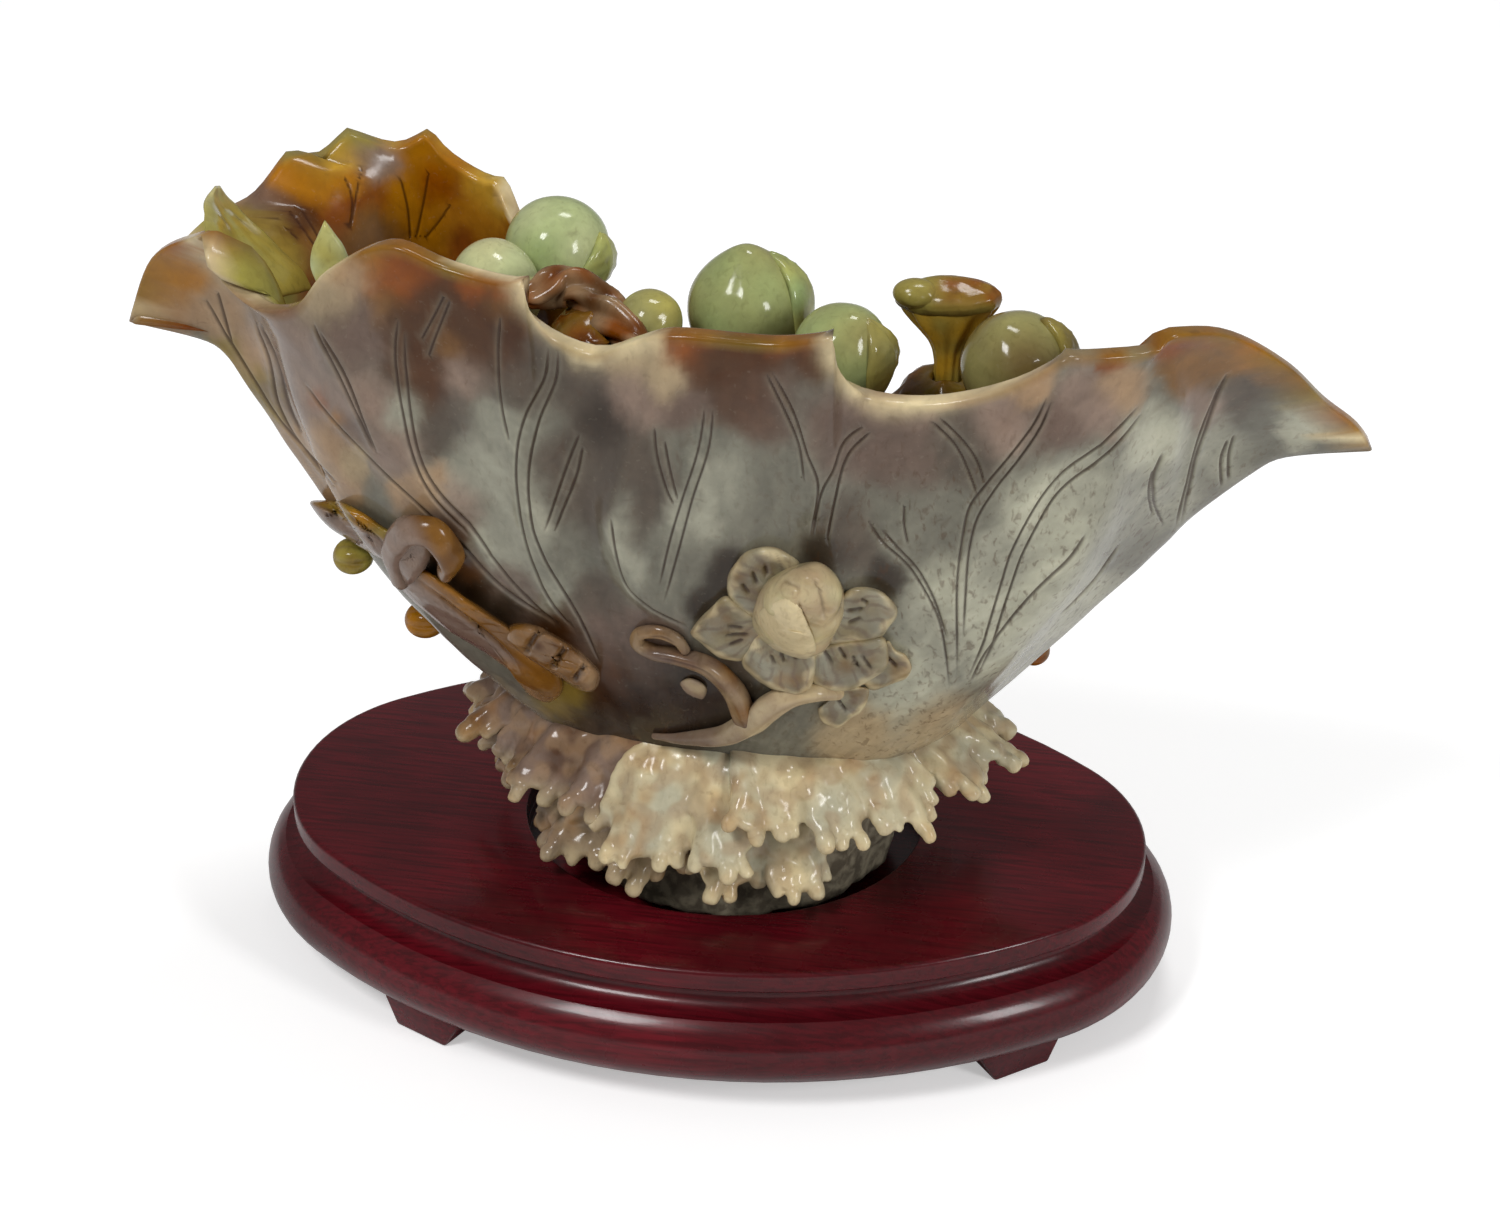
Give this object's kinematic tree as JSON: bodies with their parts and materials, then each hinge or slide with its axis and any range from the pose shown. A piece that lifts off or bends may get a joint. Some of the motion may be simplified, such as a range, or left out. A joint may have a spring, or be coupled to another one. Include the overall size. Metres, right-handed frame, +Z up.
{
  "type": "carved jade lotus leaf vessel on a wooden stand",
  "caption": "Boat-shaped lotus leaf carved in mottled jade, heaped with peaches, with a lotus blossom on its wall, standing in an oval red-lacquered stand.",
  "frame": {"origin": "under the middle of the leaf, on the plane of the stand's feet", "axes": "+X along the leaf to its right end, +Y to the back, +Z up"},
  "size_m": [0.248, 0.126, 0.1843],
  "materials": {
    "lacquer": "glossy oxblood lacquer over fine straight grain",
    "celadon": "polished grey-green jade with mauve and russet patches",
    "pale": "soft polished cream jade with brown mottling",
    "amber": "polished russet and honey jade skin",
    "green": "high polish apple-green and olive jade",
    "rough": "sawn and unpolished grey stone"
  },
  "bodies": {
    "stand": {"stand_top_board": "lacquer", "stand_base_board": "lacquer", "foot_front_left": "lacquer", "foot_front_right": "lacquer", "foot_back_left": "lacquer", "foot_back_right": "lacquer"},
    "carving": {"leaf_vessel": "celadon", "rough_stone_foot": "rough", "frond_left_upper": "amber", "frond_left_lower": "amber", "frond_front_left_upper": "amber", "frond_front_left_lower": "amber", "frond_front_middle": "pale", "frond_front_right_upper": "pale", "frond_front_right_lower": "pale", "frond_right_upper": "pale", "frond_back_right": "pale", "frond_back_middle": "pale", "frond_back_left": "amber", "peach_back": "green", "peach_left": "green", "peach_middle": "green", "peach_front": "green", "peach_right": "green", "peach_small": "green", "peach_back_leaf": "green", "peach_left_leaf": "green", "peach_middle_leaf": "green", "peach_front_leaf": "green", "peach_right_leaf": "green", "fungus_cap": "amber", "fungus_stem": "green", "twisted_branch": "amber", "fruiting_bough": "amber", "folded_inner_leaf": "green", "small_leaf_tip": "green", "lotus_bud": "pale", "lotus_bud_leaf": "pale", "lotus_petal_upper": "pale", "lotus_petal_left": "pale", "lotus_petal_lower": "pale", "lotus_petal_lower_right": "pale", "lotus_petal_right": "pale", "lotus_petal_outer_right": "pale", "lotus_petal_outer_low": "pale", "blossom_stem": "pale", "curling_tendril": "amber", "small_wall_leaf": "pale", "side_stem": "amber", "side_leaf": "amber", "side_knob": "amber", "side_clasp": "amber", "side_flower_upper": "amber", "side_flower_lower": "amber", "back_knob": "amber"}
  },
  "joints": [
    {"name": "carving_lift", "type": "slide", "parent": "stand", "child": "carving", "axis": [0, 0, 1], "range_m": [0, 0.06]}
  ]
}
